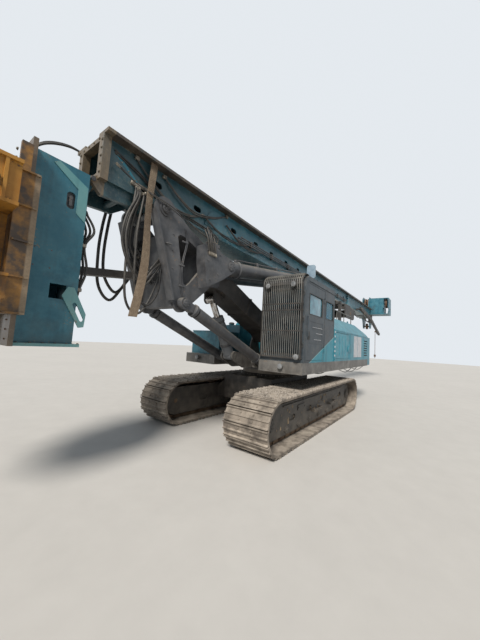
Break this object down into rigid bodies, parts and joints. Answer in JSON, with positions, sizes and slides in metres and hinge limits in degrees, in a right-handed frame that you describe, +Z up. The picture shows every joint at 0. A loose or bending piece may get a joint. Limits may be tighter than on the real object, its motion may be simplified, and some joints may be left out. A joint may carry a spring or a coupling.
{
  "type": "rotary piling rig",
  "caption": "Tracked rotary piling rig: slewing body with cab, luffing boom, mast laid back over the machine, folded mast foot and a rotary drive on its guide rails.",
  "frame": {"origin": "on the ground, below the middle of the machine's overall length and width", "axes": "+X forward, towards the rotary; +Y to the machine's left; +Z up"},
  "size_m": [18.912, 3, 4.812],
  "materials": {
    "teal_paint": "weathered gloss",
    "grey_paint": "weathered satin",
    "dark_paint": "worn satin",
    "track_steel": "dusty",
    "bare_steel": "greasy",
    "rusty_steel": "rusty",
    "chrome_rod": "polished",
    "yellow_paint": "worn and rusty",
    "clear_glass": "clear",
    "seat_cloth": "woven",
    "black_rubber": "matt"
  },
  "bodies": {
    "undercarriage": {"car_body": "dark_paint", "slew_ring": "bare_steel", "track_frames": "dark_paint", "track_left": "track_steel", "track_right": "track_steel", "sprockets": "rusty_steel", "idler_wheels": "rusty_steel", "track_rollers": "rusty_steel", "travel_drives": "dark_paint"},
    "upper": {"upper_frame": "grey_paint", "counterweight": "teal_paint", "engine_house": "teal_paint", "engine_block": "bare_steel", "exhaust_stack": "rusty_steel", "side_tank": "teal_paint", "cab_shell": "grey_paint", "cab_windows": "clear_glass", "cab_guard": "dark_paint", "operator_seat": "seat_cloth", "side_mirror": "black_rubber", "work_lamps": "bare_steel", "winch_frame": "dark_paint", "mast_rest": "dark_paint"},
    "winch": {"winch_drum": "rusty_steel"},
    "door": {"cab_door": "grey_paint"},
    "side_door": {"house_door": "teal_paint"},
    "boom": {"boom": "dark_paint"},
    "links": {"parallel_links": "grey_paint"},
    "lift_barrel": {"lift_barrel": "grey_paint"},
    "lift_rod": {"lift_rod": "chrome_rod"},
    "support": {"mast_support": "grey_paint"},
    "ram_barrels": {"mast_cylinder_barrels": "grey_paint"},
    "ram_rods": {"mast_cylinder_rods": "chrome_rod"},
    "mast": {"mast_main": "teal_paint", "mast_top": "teal_paint", "mast_pivot": "grey_paint", "mast_winch_frame": "dark_paint", "mast_head": "teal_paint", "rear_arm": "dark_paint"},
    "mast_winch": {"mast_winch_drum": "rusty_steel"},
    "head_sheaves": {"head_sheaves": "rusty_steel"},
    "side_sheave": {"side_sheave": "rusty_steel"},
    "rear_sheave": {"rear_sheave": "rusty_steel"},
    "hook": {"hook_line": "rusty_steel"},
    "foot": {"mast_foot": "teal_paint"},
    "brace": {"foot_brace": "dark_paint"},
    "carriage": {"rotary_carriage": "bare_steel", "rotary_housing": "yellow_paint", "rotary_motors": "bare_steel"},
    "drive": {"rotary_drive": "rusty_steel"}
  },
  "joints": [
    {"name": "slew", "type": "hinge", "parent": "undercarriage", "child": "upper", "pos_m": [2.984, 0, 1.1], "axis": [0, 0, 1], "continuous": true},
    {"name": "winch_turn", "type": "hinge", "parent": "upper", "child": "winch", "pos_m": [0.384, 0, 2.83], "axis": [0, 1, 0], "continuous": true},
    {"name": "cab_door_swing", "type": "hinge", "parent": "upper", "child": "door", "pos_m": [3.336, 1.489, 1.9], "axis": [0, 0, 1], "range_deg": [0, 100]},
    {"name": "house_door_swing", "type": "hinge", "parent": "upper", "child": "side_door", "pos_m": [2.536, 1.489, 1.8], "axis": [0, 0, -1], "range_deg": [0, 95]},
    {"name": "boom_luff", "type": "hinge", "parent": "upper", "child": "boom", "pos_m": [3.293, 0, 1.841], "axis": [0, -1, 0], "range_deg": [0, 20]},
    {"name": "support_level", "type": "hinge", "parent": "boom", "child": "support", "pos_m": [5.46339, 0, 2.72098], "axis": [0, -1, 0], "range_deg": [-20, 0]},
    {"name": "link_swing", "type": "hinge", "parent": "upper", "child": "links", "pos_m": [4.14361, 0, 1.32002], "axis": [0, -1, 0], "range_deg": [0, 20]},
    {"name": "lift_barrel_swing", "type": "hinge", "parent": "upper", "child": "lift_barrel", "pos_m": [4.604, 0, 1.42], "axis": [0, -1, 0], "range_deg": [0, 21.6]},
    {"name": "lift_rod_slide", "type": "slide", "parent": "lift_barrel", "child": "lift_rod", "axis": [0.5092, 0, 0.8606], "range_m": [-0.0005, 0.4777]},
    {"name": "mast_tilt", "type": "hinge", "parent": "support", "child": "mast", "pos_m": [6.704, 0, 3.44], "axis": [0, 1, 0], "range_deg": [0, 90]},
    {"name": "ram_swing", "type": "hinge", "parent": "support", "child": "ram_barrels", "pos_m": [5.434, 0, 2.95], "axis": [0, 1, 0], "range_deg": [0, 95.07]},
    {"name": "ram_slide", "type": "slide", "parent": "ram_barrels", "child": "ram_rods", "axis": [-0.9882, 0, 0.1528], "range_m": [0, 1.8818]},
    {"name": "foot_fold", "type": "hinge", "parent": "mast", "child": "foot", "pos_m": [7.584, 0, 3.45], "axis": [0, -1, 0], "range_deg": [0, 90]},
    {"name": "brace_fold", "type": "hinge", "parent": "support", "child": "brace", "pos_m": [6.594, 0, 2.56], "axis": [0, 1, 0], "range_deg": [0, 81.5]},
    {"name": "rotary_feed", "type": "slide", "parent": "foot", "child": "carriage", "axis": [0, 0, 1], "range_m": [-0.15, 0.25]},
    {"name": "drive_turn", "type": "hinge", "parent": "carriage", "child": "drive", "pos_m": [8.896, 0, 2], "axis": [0, 0, 1], "continuous": true},
    {"name": "head_sheave_turn", "type": "hinge", "parent": "mast", "child": "head_sheaves", "pos_m": [-8.436, 0, 4.462], "axis": [0, 1, 0], "continuous": true},
    {"name": "mast_winch_turn", "type": "hinge", "parent": "mast", "child": "mast_winch", "pos_m": [-2.866, 0, 3.182], "axis": [0, 1, 0], "continuous": true},
    {"name": "side_sheave_turn", "type": "hinge", "parent": "mast", "child": "side_sheave", "pos_m": [-8.496, 1, 4.442], "axis": [0, 1, 0], "continuous": true},
    {"name": "rear_sheave_turn", "type": "hinge", "parent": "mast", "child": "rear_sheave", "pos_m": [-8.406, 0, 3.112], "axis": [0, 1, 0], "continuous": true},
    {"name": "hook_swing", "type": "hinge", "parent": "mast", "child": "hook", "pos_m": [-8.916, 0.36, 2.838], "axis": [0, -1, 0], "range_deg": [0, 90]}
  ],
  "couplings": [
    {"joint": "support_level", "follows": "boom_luff", "ratio": -1},
    {"joint": "link_swing", "follows": "boom_luff", "ratio": 1},
    {"joint": "lift_barrel_swing", "follows": "boom_luff", "ratio": 1.08},
    {"joint": "lift_rod_slide", "follows": "boom_luff", "m_per_rad": 1.367},
    {"joint": "ram_swing", "follows": "mast_tilt", "ratio": 1.0563},
    {"joint": "ram_slide", "follows": "mast_tilt", "m_per_rad": 1.1973},
    {"joint": "foot_fold", "follows": "mast_tilt", "ratio": 1},
    {"joint": "brace_fold", "follows": "mast_tilt", "ratio": 0.9055},
    {"joint": "hook_swing", "follows": "mast_tilt", "ratio": 1}
  ]
}
